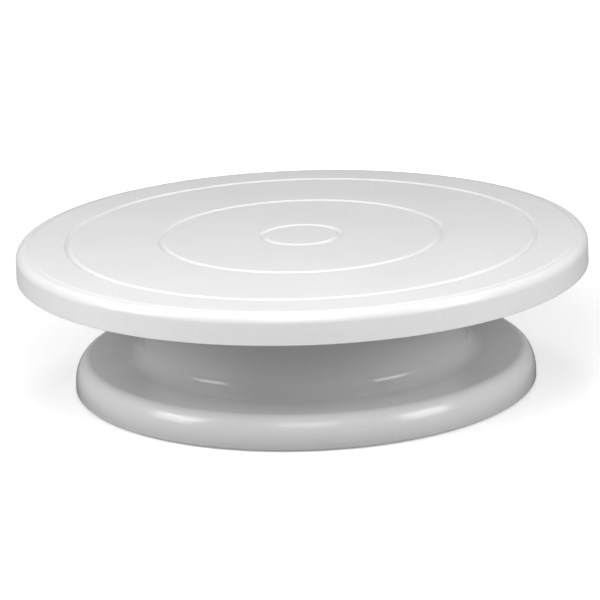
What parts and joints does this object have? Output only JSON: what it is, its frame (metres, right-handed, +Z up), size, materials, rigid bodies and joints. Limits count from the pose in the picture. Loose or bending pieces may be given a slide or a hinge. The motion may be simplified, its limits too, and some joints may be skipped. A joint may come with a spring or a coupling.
{
  "type": "cake turntable",
  "caption": "Round cake decorating turntable: a flat grooved plate turns on a ball race over a low round moulded base.",
  "frame": {"origin": "on the spin axis, at the table surface that the rubber feet stand on", "axes": "+Z up along the plate's spin axis; +X through rubber_foot_1"},
  "size_m": [0.28, 0.28, 0.0732],
  "materials": {
    "white_plastic": "gloss",
    "race_steel": "satin",
    "ball_steel": "polished",
    "cage_plastic": "matt",
    "bush_plastic": "matt",
    "spindle_steel": "turned",
    "zinc_steel": "zinc plated",
    "foot_rubber": "matt"
  },
  "bodies": {
    "base": {"base_shell": "white_plastic", "base_race": "race_steel", "base_race_screws": "zinc_steel", "spindle_bush": "bush_plastic", "rubber_foot_1": "foot_rubber", "rubber_foot_2": "foot_rubber", "rubber_foot_3": "foot_rubber", "rubber_foot_4": "foot_rubber", "rubber_foot_5": "foot_rubber", "rubber_foot_6": "foot_rubber"},
    "plate": {"turntable_plate": "white_plastic", "plate_race": "race_steel", "plate_race_screws": "zinc_steel", "spindle_pin": "spindle_steel", "slip_washer": "bush_plastic", "retaining_washer": "zinc_steel", "retaining_screw": "zinc_steel"},
    "cage": {"ball_cage": "cage_plastic", "bearing_ball_01": "ball_steel", "bearing_ball_02": "ball_steel", "bearing_ball_03": "ball_steel", "bearing_ball_04": "ball_steel", "bearing_ball_05": "ball_steel", "bearing_ball_06": "ball_steel", "bearing_ball_07": "ball_steel", "bearing_ball_08": "ball_steel", "bearing_ball_09": "ball_steel", "bearing_ball_10": "ball_steel", "bearing_ball_11": "ball_steel", "bearing_ball_12": "ball_steel"}
  },
  "joints": [
    {"name": "plate_spin", "type": "hinge", "parent": "base", "child": "plate", "pos_m": [0, 0, 0], "axis": [0, 0, 1], "continuous": true},
    {"name": "ball_cage_spin", "type": "hinge", "parent": "base", "child": "cage", "pos_m": [0, 0, 0], "axis": [0, 0, 1], "continuous": true}
  ],
  "couplings": [
    {"joint": "ball_cage_spin", "follows": "plate_spin", "ratio": 0.5}
  ]
}
